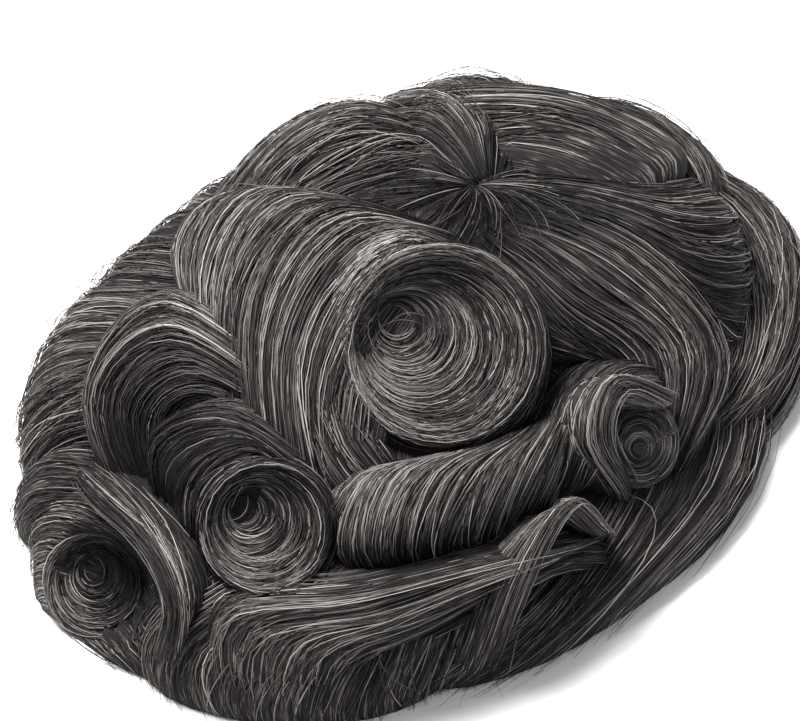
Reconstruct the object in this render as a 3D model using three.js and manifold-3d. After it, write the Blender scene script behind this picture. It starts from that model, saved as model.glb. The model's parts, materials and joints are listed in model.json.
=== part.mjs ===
// A toupee hairpiece: a thin dome base, a coat of short crown hair over it, and the dressed locks
// that lie on that coat as rolls, waves and curls. Millimetres, +Z up, the front towards -Y.

import * as THREE from 'three';
import { mergeVertices } from 'three/addons/utils/BufferGeometryUtils.js';
import Module from 'manifold-3d';

const wasm = await Module();
wasm.setup();

// The base
const baseWidth = 152;
const baseLength = 208;
const baseHeight = 52;
const baseWall = 1.5;

// The coat of crown hair over the base
const crownDepth = 5;
const crownHemHeight = 1.2;

// The locks
const lockLift = 32;
const lockShoulder = 0.55;
const lockBite = 2;
const thinnestLock = 1.5;
const clearance = 0.3;

// The open curls: mouth radius and bowl depth of each
const pompadourRadius = 31;
const pompadourBowl = 12;
const frontCurlRadius = 21;
const frontCurlBowl = 12;
const cornerCurlRadius = 18;
const cornerCurlBowl = 10;
const ringCurlRadius = 15;
const ringCurlBowl = 9;

// How finely the forms are faceted
const domeRings = 7;
const domeSides = 36;
const curlSides = 18;
const lockSteps = 7;
const stepsPerRow = 2;

// A point over the base. across and along are shares of the half width and half length on the
// unrolled dome, where a distance of 1 from the middle is the rim, and lift is the height above it.
function place(across, along, lift) {
  const reach = Math.hypot(across, along);
  const polar = (reach * Math.PI) / 2;
  const spread = reach > 1e-9 ? Math.sin(polar) / reach : Math.PI / 2;
  return new THREE.Vector3(
    (baseWidth / 2 + lift) * spread * across,
    (baseLength / 2 + lift) * spread * along,
    (baseHeight + lift) * Math.cos(polar),
  );
}

// A smooth curve through points of any number of values, with its ends carried straight on.
function spline(points, share) {
  const last = points.length - 1;
  const at = (i) => {
    if (i < 0) return points[0].map((v, k) => 2 * v - points[1][k]);
    if (i > last) return points[last].map((v, k) => 2 * v - points[last - 1][k]);
    return points[i];
  };
  const i = Math.min(Math.floor(share * last), last - 1);
  const s = share * last - i;
  const [a, b, c, d] = [at(i - 1), at(i), at(i + 1), at(i + 2)];
  return b.map(
    (v, k) =>
      v +
      0.5 * s * (c[k] - a[k]) +
      s * s * (a[k] - 2.5 * v + 2 * c[k] - 0.5 * d[k]) +
      s * s * s * (1.5 * (v - c[k]) + 0.5 * (d[k] - a[k])),
  );
}

// Six times the volume inside a mesh, negative where its faces point in.
function signedVolume(position, index) {
  const corner = (i) => new THREE.Vector3().fromArray(position, 3 * i);
  let volume = 0;
  for (let i = 0; i < index.length; i += 3) {
    const [a, b, c] = [index[i], index[i + 1], index[i + 2]].map(corner);
    volume += a.dot(new THREE.Vector3().crossVectors(b, c));
  }
  return volume;
}

// A closed geometry with its doubled corners merged and its faces pointing out
function closed(geometry) {
  const bare = geometry.clone();
  bare.deleteAttribute('normal');
  bare.deleteAttribute('uv');
  const merged = mergeVertices(bare, 1e-4);
  const found = merged.index.array;
  const index = [];
  for (let i = 0; i < found.length; i += 3) {
    const [a, b, c] = [found[i], found[i + 1], found[i + 2]];
    if (a !== b && b !== c && a !== c) index.push(a, b, c);
  }
  const inward = signedVolume(merged.attributes.position.array, index) < 0;
  merged.setIndex(inward ? index.toReversed() : index);
  return merged;
}

function solidOf(geometry) {
  const shell = closed(geometry);
  return new wasm.Manifold(
    new wasm.Mesh({
      numProp: 3,
      vertProperties: Float32Array.from(shell.attributes.position.array),
      triVerts: Uint32Array.from(shell.index.array),
    }),
  );
}

function geometryOf(solid) {
  const mesh = solid.getMesh();
  const geometry = new THREE.BufferGeometry();
  geometry.setAttribute('position', new THREE.BufferAttribute(mesh.vertProperties, 3));
  geometry.setIndex(new THREE.BufferAttribute(mesh.triVerts, 1));
  geometry.computeVertexNormals();
  return geometry;
}

function largestBody(solid) {
  return solid.decompose().reduce((a, b) => (b.volume() > a.volume() ? b : a));
}

// The same geometry with every face moved out by about the given distance
function grown(geometry, distance) {
  const bigger = closed(geometry);
  bigger.computeVertexNormals();
  const { position, normal } = bigger.attributes;
  for (let i = 0; i < position.count; i++) {
    position.setXYZ(
      i,
      position.getX(i) + distance * normal.getX(i),
      position.getY(i) + distance * normal.getY(i),
      position.getZ(i) + distance * normal.getZ(i),
    );
  }
  return bigger;
}

// The dome at one lift, closed by a flat floor at the given height
function domeSolid(lift, floor) {
  const profile = [new THREE.Vector2(0, floor)];
  const foot = Math.acos(Math.max(0, floor) / (baseHeight + lift));
  if (floor < 0) profile.push(new THREE.Vector2(1, floor));
  for (let i = 0; i <= domeRings; i++) {
    const polar = foot * (1 - i / domeRings);
    profile.push(new THREE.Vector2(Math.sin(polar), (baseHeight + lift) * Math.cos(polar)));
  }
  profile[profile.length - 1].x = 0;
  const geometry = new THREE.LatheGeometry(profile, domeSides);
  geometry.rotateX(Math.PI / 2);
  geometry.scale(baseWidth / 2 + lift, baseLength / 2 + lift, 1);
  return solidOf(geometry);
}

const reach = baseLength + 4 * lockLift;
const below = solidOf(new THREE.BoxGeometry(reach, reach, reach).translate(0, 0, -reach / 2));
const underLocks = domeSolid(crownDepth + clearance, -lockLift);

// A lock from its table. A row is one guide strand, from root to tip, and the rows go across the
// lock. Each place is across, along and lift in hundredths, the lift in those of lockLift. The lock
// falls off to its shoulder at the first and last row, and goes down into the coat, which cuts it.
function lockGeometry(rows) {
  const nets = rows.map((row) => Object.values(row));
  const steps = stepsPerRow * (rows.length - 1);
  const points = [];
  for (const layer of ['top', 'bottom']) {
    for (let i = 0; i <= steps; i++) {
      for (let j = 0; j <= lockSteps; j++) {
        const strand = nets.map((net) => spline(net, j / lockSteps));
        const [across, along, lift] = spline(strand, i / steps).map((value) => value / 100);
        const side = (2 * i) / steps - 1;
        const fall = lockShoulder + (1 - lockShoulder) * (1 - side ** 4);
        const height = crownDepth + Math.max(lift * lockLift - crownDepth, thinnestLock) * fall;
        points.push(place(across, along, layer === 'top' ? height : crownDepth - lockBite));
      }
    }
  }
  const wide = lockSteps + 1;
  const half = points.length / 2;
  const index = [];
  const quad = (a, b, c, d) => index.push(a, b, c, a, c, d);
  for (let i = 0; i < steps; i++) {
    for (let j = 0; j < lockSteps; j++) {
      const a = i * wide + j;
      quad(a, a + wide, a + wide + 1, a + 1);
      quad(half + a, half + a + 1, half + a + wide + 1, half + a + wide);
    }
  }
  const ring = [];
  for (let j = 0; j < lockSteps; j++) ring.push(j);
  for (let i = 0; i < steps; i++) ring.push(i * wide + lockSteps);
  for (let j = lockSteps; j > 0; j--) ring.push(steps * wide + j);
  for (let i = steps; i > 0; i--) ring.push(i * wide);
  ring.forEach((a, k) => {
    const b = ring[(k + 1) % ring.length];
    quad(a, b, half + b, half + a);
  });
  const geometry = new THREE.BufferGeometry().setFromPoints(points);
  return geometry.setIndex(index);
}

// A solid of revolution about a curl's own axis. Its profile is radius and height, both as shares
// of the mouth radius, and a margin makes it bigger all round.
function turned(curl, profile, margin = 0) {
  const outline = profile.map(
    ([radius, height]) =>
      new THREE.Vector2(
        radius > 0 ? radius * curl.radius + margin : 0,
        height * curl.radius + (height > -0.5 ? margin : 0),
      ),
  );
  const geometry = new THREE.LatheGeometry(outline, curlSides);
  geometry.rotateX(Math.PI / 2);
  const turn = THREE.MathUtils.degToRad(curl.facing);
  const tilt = THREE.MathUtils.degToRad(curl.tilt);
  const axis = new THREE.Vector3(
    Math.cos(tilt) * Math.cos(turn),
    Math.cos(tilt) * Math.sin(turn),
    Math.sin(tilt),
  );
  geometry.applyQuaternion(
    new THREE.Quaternion().setFromUnitVectors(new THREE.Vector3(0, 0, 1), axis),
  );
  const [across, along, lift] = curl.mouth.map((value) => value / 100);
  const centre = place(across, along, lift * lockLift);
  return geometry.translate(centre.x, centre.y, centre.z);
}

const curlWall = [
  [0, 0],
  [0.84, 0],
  [0.95, -0.04],
  [1, -0.14],
  [1.03, -0.5],
  [1, -1.2],
  [0.6, -1.7],
  [0, -1.8],
];

function bowlProfile(curl) {
  const depth = curl.bowl / curl.radius;
  return [
    [0, -depth],
    [0.4, -0.92 * depth],
    [0.66, -0.66 * depth],
    [0.8, -0.3 * depth],
    [0.88, 0.06],
    [1.2, 0.8],
    [0, 0.8],
  ];
}

// The curls. mouth is the middle of the mouth as across, along and lift in hundredths, facing is
// the angle that the mouth looks to, round from +X, and tilt is how far it looks up.
const curls = {
  pompadour_curl: {
    mouth: [20, -10, 70],
    facing: -46,
    tilt: 56,
    radius: pompadourRadius,
    bowl: pompadourBowl,
  },
  front_curl: {
    mouth: [19, -54, 68],
    facing: -55,
    tilt: 50,
    radius: frontCurlRadius,
    bowl: frontCurlBowl,
  },
  ring_curl: {
    mouth: [64, 10, 60],
    facing: -25,
    tilt: 52,
    radius: ringCurlRadius,
    bowl: ringCurlBowl,
  },
  corner_curl: {
    mouth: [-14, -86, 76],
    facing: -72,
    tilt: 50,
    radius: cornerCurlRadius,
    bowl: cornerCurlBowl,
  },
};

// The locks, from the one that lies uppermost to the lowest. A lower one gives way to those above.
const locks = {
  pompadour_curl: [
    { root: [-60, 4, 26], rise: [-66, -4, 50], crest: [-64, -14, 50], tip: [-57, -21, 26] },
    { root: [-48, 8, 32], rise: [-54, -3, 78], crest: [-50, -16, 80], tip: [-40, -28, 36] },
    { root: [-30, 11, 34], rise: [-34, -4, 88], crest: [-28, -22, 86], tip: [-14, -38, 38] },
    { root: [-10, 12, 36], rise: [-16, -4, 94], crest: [-10, -25, 88], tip: [10, -47, 40] },
    { root: [10, 12, 38], rise: [-2, -2, 96], crest: [5, -26, 88], tip: [29, -46, 42] },
  ],
  front_curl: [
    { root: [-16, -68, 24], rise: [-24, -52, 40], crest: [-10, -37, 50], tip: [10, -36, 34] },
    { root: [-8, -68, 34], rise: [-14, -53, 72], crest: [-1, -41, 84], tip: [17, -40, 48] },
    { root: [6, -70, 36], rise: [4, -56, 86], crest: [9, -44, 90], tip: [26, -46, 48] },
  ],
  loop_lock: [
    { root: [60, -58, 60], rise: [64, -38, 78], crest: [68, -17, 84], tip: [82, -6, 66] },
    { root: [64, -58, 64], rise: [68, -38, 84], crest: [72, -21, 90], tip: [85, -10, 68] },
    { root: [69, -57, 50], rise: [73, -38, 60], crest: [76, -26, 62], tip: [88, -14, 50] },
  ],
  ring_curl: [
    { root: [50, 26, 34], rise: [43, 12, 46], crest: [47, -3, 46], tip: [60, -12, 30] },
    { root: [56, 24, 50], rise: [50, 12, 76], crest: [54, 0, 74], tip: [65, -7, 42] },
    { root: [62, 20, 52], rise: [58, 12, 78], crest: [61, 3, 76], tip: [69, -2, 44] },
  ],
  middle_wave: [
    { root: [33, -27, 50], rise: [25, -38, 66], crest: [30, -51, 60], tip: [44, -58, 24] },
    { root: [40, -18, 60], rise: [34, -31, 92], crest: [42, -44, 78], tip: [55, -48, 24] },
    { root: [46, -9, 60], rise: [45, -21, 92], crest: [53, -32, 74], tip: [63, -35, 24] },
    { root: [50, 4, 50], rise: [56, -6, 76], crest: [63, -15, 62], tip: [71, -18, 24] },
  ],
  front_outer_wave: [
    { root: [-26, -72, 36], rise: [-46, -50, 66], crest: [-42, -24, 66], tip: [-6, -24, 40] },
    { root: [-22, -70, 46], rise: [-38, -49, 95], crest: [-34, -29, 95], tip: [-2, -29, 60] },
    { root: [-18, -66, 40], rise: [-29, -49, 86], crest: [-23, -35, 84], tip: [0, -34, 54] },
    { root: [-13, -62, 24], rise: [-20, -49, 46], crest: [-13, -41, 50], tip: [3, -38, 36] },
  ],
  crown_sweep: [
    { root: [14, 12, 28], rise: [30, 10, 34], crest: [42, 14, 40], tip: [50, 20, 42] },
    { root: [10, 25, 28], rise: [30, 24, 46], crest: [52, 28, 56], tip: [70, 19, 50] },
    { root: [10, 36, 28], rise: [32, 37, 54], crest: [60, 38, 66], tip: [79, 16, 58] },
    { root: [12, 46, 28], rise: [34, 47, 46], crest: [64, 47, 58], tip: [85, 22, 54] },
  ],
  corner_curl: [
    { root: [-50, -86, 66], rise: [-42, -70, 76], crest: [-18, -64, 66], tip: [8, -72, 46] },
    { root: [-50, -96, 86], rise: [-38, -78, 96], crest: [-14, -72, 92], tip: [14, -83, 70] },
    { root: [-44, -104, 96], rise: [-30, -90, 102], crest: [-6, -86, 100], tip: [20, -96, 86] },
    { root: [-40, -118, 104], rise: [-20, -114, 112], crest: [2, -112, 114], tip: [20, -116, 104] },
  ],
  front_wave: [
    { root: [0, -76, 50], rise: [-4, -86, 86], crest: [-2, -97, 104], tip: [4, -110, 100] },
    { root: [22, -67, 70], rise: [20, -81, 100], crest: [23, -94, 108], tip: [28, -106, 100] },
    { root: [42, -60, 72], rise: [45, -73, 102], crest: [50, -86, 106], tip: [56, -97, 98] },
    { root: [58, -50, 70], rise: [64, -60, 96], crest: [71, -71, 100], tip: [79, -80, 92] },
    { root: [69, -38, 60], rise: [78, -46, 84], crest: [87, -53, 90], tip: [97, -59, 84] },
  ],
  back_rim_band: [
    { root: [2, 70, 56], rise: [3, 80, 100], crest: [4, 90, 104], tip: [5, 108, 90] },
    { root: [28, 66, 60], rise: [31, 76, 116], crest: [35, 88, 116], tip: [40, 102, 98] },
    { root: [48, 59, 52], rise: [53, 68, 106], crest: [60, 79, 108], tip: [67, 91, 92] },
    { root: [62, 46, 44], rise: [69, 54, 92], crest: [77, 63, 98], tip: [86, 72, 84] },
    { root: [72, 30, 40], rise: [80, 36, 80], crest: [89, 43, 88], tip: [100, 48, 80] },
  ],
  right_rim_lock: [
    { root: [60, -58, 60], rise: [68, -66, 86], crest: [76, -74, 96], tip: [86, -82, 86] },
    { root: [74, -30, 56], rise: [82, -35, 82], crest: [92, -40, 92], tip: [102, -44, 84] },
    { root: [78, 0, 54], rise: [86, -3, 84], crest: [97, -6, 90], tip: [108, -8, 82] },
    { root: [75, 32, 50], rise: [84, 32, 90], crest: [94, 30, 98], tip: [105, 28, 90] },
    { root: [58, 62, 50], rise: [66, 68, 84], crest: [74, 76, 96], tip: [82, 84, 88] },
  ],
  back_wave: [
    { root: [-14, 44, 28], rise: [2, 54, 54], crest: [7, 66, 84], tip: [5, 80, 68] },
    { root: [2, 42, 28], rise: [20, 50, 62], crest: [28, 61, 88], tip: [30, 75, 66] },
    { root: [14, 40, 28], rise: [35, 45, 58], crest: [46, 54, 80], tip: [51, 66, 60] },
    { root: [22, 36, 28], rise: [44, 39, 46], crest: [60, 43, 60], tip: [70, 48, 50] },
  ],
  side_loop: [
    { root: [-32, 38, 24], rise: [-36, 26, 46], crest: [-42, 16, 46], tip: [-54, 6, 26] },
    { root: [-40, 42, 48], rise: [-46, 28, 88], crest: [-53, 16, 86], tip: [-64, 2, 50] },
    { root: [-48, 50, 50], rise: [-56, 35, 94], crest: [-63, 19, 92], tip: [-71, 0, 60] },
    { root: [-58, 54, 44], rise: [-67, 37, 82], crest: [-74, 19, 82], tip: [-79, -2, 58] },
  ],
  ridge_twist: [
    { root: [-18, 40, 22], rise: [-28, 37, 56], crest: [-37, 34, 68], tip: [-46, 30, 50] },
    { root: [-16, 52, 30], rise: [-30, 49, 86], crest: [-42, 46, 96], tip: [-55, 42, 80] },
    { root: [-18, 64, 36], rise: [-32, 60, 92], crest: [-47, 56, 98], tip: [-62, 50, 84] },
    { root: [-24, 76, 36], rise: [-38, 72, 80], crest: [-53, 67, 88], tip: [-68, 60, 76] },
  ],
  back_ridge: [
    { root: [-28, 56, 44], rise: [-29, 65, 80], crest: [-31, 75, 90], tip: [-33, 85, 78] },
    { root: [-14, 58, 50], rise: [-14, 68, 98], crest: [-14, 79, 100], tip: [-15, 91, 84] },
    { root: [4, 60, 50], rise: [6, 70, 98], crest: [8, 81, 100], tip: [8, 92, 84] },
    { root: [20, 62, 50], rise: [24, 70, 88], crest: [27, 79, 92], tip: [29, 89, 80] },
  ],
  corner_wave: [
    { root: [-26, -56, 40], rise: [-44, -60, 84], crest: [-58, -70, 94], tip: [-70, -85, 86] },
    { root: [-22, -66, 44], rise: [-38, -70, 98], crest: [-51, -81, 104], tip: [-62, -96, 94] },
    { root: [-18, -74, 40], rise: [-33, -80, 84], crest: [-43, -90, 88], tip: [-50, -102, 76] },
  ],
  left_side_lock: [
    { root: [-54, -12, 36], rise: [-70, -15, 86], crest: [-86, -20, 94], tip: [-104, -28, 84] },
    { root: [-48, -28, 44], rise: [-64, -34, 98], crest: [-78, -44, 100], tip: [-93, -56, 84] },
    { root: [-42, -44, 44], rise: [-56, -53, 96], crest: [-69, -64, 100], tip: [-81, -76, 86] },
    { root: [-36, -58, 36], rise: [-48, -67, 86], crest: [-59, -79, 94], tip: [-68, -92, 84] },
  ],
  temple_lock: [
    { root: [-60, 10, 36], rise: [-74, 8, 76], crest: [-88, 6, 80], tip: [-106, 2, 72] },
    { root: [-58, -8, 44], rise: [-74, -12, 84], crest: [-88, -17, 86], tip: [-104, -22, 76] },
    { root: [-54, -26, 40], rise: [-70, -32, 84], crest: [-84, -39, 88], tip: [-98, -46, 78] },
  ],
  left_rim_wave: [
    { root: [-66, 48, 36], rise: [-76, 48, 80], crest: [-88, 48, 88], tip: [-98, 46, 78] },
    { root: [-70, 30, 40], rise: [-82, 29, 92], crest: [-93, 27, 96], tip: [-105, 25, 80] },
    { root: [-72, 12, 40], rise: [-84, 11, 92], crest: [-95, 9, 96], tip: [-107, 8, 80] },
    { root: [-72, -6, 36], rise: [-84, -7, 80], crest: [-94, -8, 86], tip: [-106, -10, 76] },
  ],
  left_back_wave: [
    { root: [-34, 76, 36], rise: [-40, 82, 80], crest: [-46, 89, 88], tip: [-52, 96, 78] },
    { root: [-48, 66, 40], rise: [-56, 71, 94], crest: [-64, 77, 98], tip: [-73, 83, 82] },
    { root: [-58, 52, 40], rise: [-68, 57, 94], crest: [-77, 62, 98], tip: [-87, 67, 82] },
    { root: [-64, 38, 36], rise: [-75, 42, 80], crest: [-84, 46, 88], tip: [-94, 50, 78] },
  ],
  nape_wave: [
    { root: [24, 80, 40], rise: [24, 87, 80], crest: [24, 95, 90], tip: [24, 106, 80] },
    { root: [6, 84, 50], rise: [5, 91, 94], crest: [4, 98, 100], tip: [3, 108, 84] },
    { root: [-16, 84, 50], rise: [-17, 90, 94], crest: [-19, 97, 100], tip: [-21, 107, 84] },
    { root: [-38, 76, 40], rise: [-42, 83, 80], crest: [-46, 90, 90], tip: [-50, 98, 80] },
  ],
};

const lockTones = [0x4a4745, 0x55514e, 0x403d3b];

function hairMaterial(tone) {
  return new THREE.MeshStandardMaterial({ color: tone, roughness: 0.45, metalness: 0 });
}

function part(name, solid, material) {
  const mesh = new THREE.Mesh(geometryOf(largestBody(solid)), material);
  mesh.name = name;
  return mesh;
}

function buildBase() {
  const solid = domeSolid(0, 0).subtract(domeSolid(-baseWall, -baseWall));
  const material = new THREE.MeshStandardMaterial({ color: 0x3b362c, roughness: 0.85, metalness: 0 });
  return part('base', solid, material);
}

function buildCrownHair() {
  const solid = domeSolid(crownDepth, crownHemHeight).subtract(domeSolid(clearance, -baseWall));
  return part('crown_hair', solid, hairMaterial(0x3f3c38));
}

function buildLocks() {
  const gap = 1.4 * clearance;
  const above = [];
  return Object.entries(locks).map(([name, rows], i) => {
    const body = lockGeometry(rows);
    const curl = curls[name];
    let solid = solidOf(body);
    let cutter = solid.add(solidOf(grown(body, gap)));
    if (curl) {
      const wall = turned(curl, curlWall);
      solid = solid.add(solidOf(wall)).subtract(solidOf(turned(curl, bowlProfile(curl))));
      cutter = cutter.add(solidOf(turned(curl, curlWall, gap)));
    }
    solid = solid.subtract(underLocks).subtract(below);
    for (const other of above) solid = solid.subtract(other);
    above.push(cutter);
    return part(name, solid, hairMaterial(lockTones[i % lockTones.length]));
  });
}

const toupee = new THREE.Group();
toupee.add(buildBase(), buildCrownHair(), ...buildLocks());

// The model stands at the middle of its own outline.
const middle = new THREE.Box3().setFromObject(toupee, true).getCenter(new THREE.Vector3());
toupee.position.set(-middle.x, -middle.y, 0);

export default toupee;
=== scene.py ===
import json
import math

import bpy
import numpy as np
from mathutils import Matrix, Vector

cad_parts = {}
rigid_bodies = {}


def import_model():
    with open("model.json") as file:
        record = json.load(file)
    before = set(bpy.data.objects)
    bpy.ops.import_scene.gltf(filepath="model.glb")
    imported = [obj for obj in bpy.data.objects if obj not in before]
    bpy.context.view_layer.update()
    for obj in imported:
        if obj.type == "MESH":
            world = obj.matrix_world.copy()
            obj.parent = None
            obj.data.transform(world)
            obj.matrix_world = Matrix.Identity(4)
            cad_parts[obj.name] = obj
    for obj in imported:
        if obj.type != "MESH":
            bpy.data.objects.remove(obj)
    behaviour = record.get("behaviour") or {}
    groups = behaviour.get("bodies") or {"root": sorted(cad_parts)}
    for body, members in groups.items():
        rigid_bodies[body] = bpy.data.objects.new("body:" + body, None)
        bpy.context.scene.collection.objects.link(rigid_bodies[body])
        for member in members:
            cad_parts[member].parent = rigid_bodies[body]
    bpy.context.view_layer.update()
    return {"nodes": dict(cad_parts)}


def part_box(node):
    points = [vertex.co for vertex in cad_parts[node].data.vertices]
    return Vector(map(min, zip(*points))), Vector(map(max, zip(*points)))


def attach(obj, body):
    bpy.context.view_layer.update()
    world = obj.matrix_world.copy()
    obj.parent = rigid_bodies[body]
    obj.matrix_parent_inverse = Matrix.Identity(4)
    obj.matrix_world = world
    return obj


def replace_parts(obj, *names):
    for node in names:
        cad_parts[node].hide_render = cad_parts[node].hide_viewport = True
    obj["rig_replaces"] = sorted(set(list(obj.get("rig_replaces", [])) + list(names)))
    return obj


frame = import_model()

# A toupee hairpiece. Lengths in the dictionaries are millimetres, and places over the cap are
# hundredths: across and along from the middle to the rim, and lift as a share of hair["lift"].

print("frame loaded")

cap = {
    "width": 152,
    "length": 208,
    "height": 52,
}
hair = {
    "coat": 5.0,        # depth of the short crown hair over the cap
    "lift": 32.0,       # the full height of a lock
    "shoulder": 0.55,   # height left at a lock's first and last strand
    "thinnest": 1.5,    # the least height of a lock over the coat
    "skirt": 0.12,      # how far past its edges a lock rounds down, as a share of it
    "width": 0.35,      # one drawn strand
    "tuck": 0.9,        # how far the bed lies under the strands
    "density": 0.9,     # share of each lock's hairs that is drawn
    "bedTone": -0.16,   # painted shade: how much darker the bed is painted than the strands, so gaps read dark
    "valley": 0.25,     # painted shade: how much darker the hair is painted down in the coat
}
still = (0.0, 0.0, 0.0)   # no sway and no painted light or shade along a lock
# Painted shade and light: places painted darker as shade, or lighter as light where the amount is
# negative: across, along, lift, reach in mm and the amount.
paintedSpots = [
    (66, 5, 50, 8, 0.3), (-4, 23, 20, 14, 0.14), (27, 16, 40, 14, 0.12), (42, 15, 45, 15, 0.12),
    (-11, -53, 60, 15, 0.16), (7, -63, 60, 11, 0.18), (-5, -71, 60, 10, 0.18),
    (58, -39, 70, 11, 0.18), (51, -48, 75, 11, 0.18), (78, -18, 75, 11, 0.25),
    (47, 48, 60, 14, 0.14), (30, 48, 70, 12, 0.12), (-18, -87, 60, 10, 0.12),
    (-26, 17, 60, 12, 0.1), (-30, -15, 85, 24, -0.06), (20, -20, 60, 14, -0.05),
    (36, -33, 90, 14, -0.07), (43, -58, 100, 16, -0.07),
]
capLow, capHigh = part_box("base")
capMiddle = np.array([(capLow[0] + capHigh[0]) / 2, (capLow[1] + capHigh[1]) / 2, 0]) * 1000
capHalf = np.array([cap["width"] / 2, cap["length"] / 2, cap["height"]])


# A place over the cap: the half ellipsoid grown by lift, reached by turning from the top by
# ninety degrees for every full share of the way to the rim.
def onCap(across, along, lift):
    reach = np.hypot(across, along)
    turn = reach * math.pi / 2
    spread = np.where(reach > 1e-9, np.sin(turn) / np.maximum(reach, 1e-9), math.pi / 2)
    return capMiddle + np.stack([
        (cap["width"] / 2 + lift) * spread * across,
        (cap["length"] / 2 + lift) * spread * along,
        (cap["height"] + lift) * np.cos(turn),
    ], -1)


# Vectors brought to a length of one.
def unit(vectors):
    return vectors / np.maximum(np.linalg.norm(vectors, axis=-1, keepdims=True), 1e-9)


# How far out points lie, as a share of the way from the cap's middle to its ellipsoid grown by a
# depth.
def shareOut(points, depth):
    return np.linalg.norm((points - capMiddle) / (capHalf + depth), axis=-1, keepdims=True)


# How far along its row each point lies: the sum of the steps before it.
def lengthsAlong(rows):
    steps = np.linalg.norm(np.diff(rows, axis=-2), axis=-1)
    return np.concatenate([np.zeros(steps.shape[:-1] + (1,)), np.cumsum(steps, -1)], -1)


# Values from -1 to 1 that lie closer near both ends: the sine of an even half turn.
def eased(count):
    return np.sin(np.linspace(-math.pi / 2, math.pi / 2, count + 1))


# The way straight out of the cap at a point: the gradient of its ellipsoid.
def outOfCap(points):
    sizes = np.array([cap["width"], cap["length"], 1.6 * cap["height"]])
    return unit((points - capMiddle) / sizes**2)


# Catmull-Rom shares of each control value at a share of the row, carried straight on past its ends.
def splineShares(count, share):
    last = count - 1
    beyond = (share - np.clip(share, 0, 1)) * last
    share = np.clip(share, 0, 1)
    piece = np.minimum(np.floor(share * last), last - 1).astype(int)
    s = share * last - piece
    blend = np.stack([
        -0.5 * s + s * s - 0.5 * s**3,
        1 - 2.5 * s * s + 1.5 * s**3,
        0.5 * s + 2 * s * s - 1.5 * s**3,
        -0.5 * s * s + 0.5 * s**3,
    ], -1)
    shares = np.zeros(share.shape + (count + 2,))
    np.put_along_axis(shares, piece[..., None] + np.arange(4), blend, -1)
    before, after = np.minimum(beyond, 0), np.maximum(beyond, 0)
    shares[..., 1] += 2 * shares[..., 0] - before
    shares[..., 2] -= shares[..., 0] - before
    shares[..., count] += 2 * shares[..., count + 1] + after
    shares[..., count - 1] -= shares[..., count + 1] + after
    return shares[..., 1:-1]


# How far past its root, its near side and its far side a lock rounds down.
def skirtsOf(lock):
    near = lock.get("sideSkirt", hair["skirt"])
    return lock.get("rootSkirt", hair["skirt"]), near, lock.get("farSkirt", near)


# A place in a lock: its guide strands blended across by side and down by share. The height falls
# off to the shoulder at both sides, and past the lock's edges it rounds down into the coat as a
# quarter of an ellipse. Before its root, a lock with a lead bends back to the place it comes from.
# A groove sinks it along one side, and rise lifts it out.
def inLock(lock, side, share, rise=0.0):
    guides = np.array(lock["guides"], float) / 100
    blended = np.einsum("...i,...j,ijk->...k",
                        splineShares(len(guides), side), splineShares(4, share), guides)
    across, along, lift = np.moveaxis(blended, -1, 0)
    if "lead" in lock:
        bend = np.clip(-share / lock["lead"], 0, 1) ** 2
        across = across + (lock["source"][0] - across) * bend
        along = along + (lock["source"][1] - along) * bend
    shoulder = lock.get("shoulder", hair["shoulder"])
    fall = shoulder + (1 - shoulder) * (1 - np.clip(2 * side - 1, -1, 1) ** 4)
    root, near, far = skirtsOf(lock)
    down = np.maximum(-share, 0) / root + np.maximum(share - 1, 0) / hair["skirt"]
    aside = np.maximum(-side, 0) / near + np.maximum(side - 1, 0) / far
    skirt = np.sqrt(1 - np.minimum(np.hypot(down, aside), 1) ** 2)
    height = np.maximum(lift * hair["lift"] - hair["coat"], hair["thinnest"]) * fall * skirt
    for at, depth, wide in lock.get("grooves", []):
        height = height - depth * np.exp(-(((side - at) / wide) ** 2))
    return onCap(across, along, hair["coat"] + np.maximum(height, -1) + rise)


lipAt = 0.88    # where a curl's lip lies, as a share of its radius
joinsAt = 165   # where the roll joins its curl, in degrees round it
# Radius and height, both as shares of the curl's radius: its wall, and the way over its lip.
curlWall = np.array([
    (0.92, 0), (0.96, -0.04), (1, -0.14), (1.02, -0.5), (1, -1), (0.6, -1.35), (0.3, -1.45),
    (0, -1.45)])
curlLip = [(0.83, -0.08), (0.9, 0.015), (0.97, -0.02), (1.03, -0.14), (1.08, -0.34), (1.12, -0.6)]


# A curl's own frame: the middle of its mouth, its axis, the level way across and the way up.
def curlFrame(curl):
    across, along, lift = np.array(curl["mouth"], float) / 100
    middle = onCap(across, along, lift * hair["lift"])
    facing, tilt = np.radians(curl["facing"]), np.radians(curl["tilt"])
    axis = np.array([np.cos(tilt) * np.cos(facing), np.cos(tilt) * np.sin(facing), np.sin(tilt)])
    level = unit(np.cross([0, 0, 1], axis))
    return middle, axis, level, np.cross(axis, level)


# The bowl's depth at a radius: full in the middle, and nothing at the lip.
def bowlHeight(curl, radius):
    share = np.clip(radius / (lipAt * curl["radius"]), 0, 1)
    return -curl["bowl"] * (1 - share**3.4)


# Points in a curl's own round frame, where the middle slides to the eye as the radius shrinks.
def inCurl(curl, angle, radius, height):
    middle, axis, level, up = curlFrame(curl)
    slide = np.clip(1 - radius / (lipAt * curl["radius"]), 0, 1) * curl["radius"]
    x = radius * np.cos(angle) + slide * curl["eye"][0]
    y = radius * np.sin(angle) + slide * curl["eye"][1]
    height = height - curlDroop(curl, x, y)
    return middle + x[..., None] * level + y[..., None] * up + height[..., None] * axis


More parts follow.
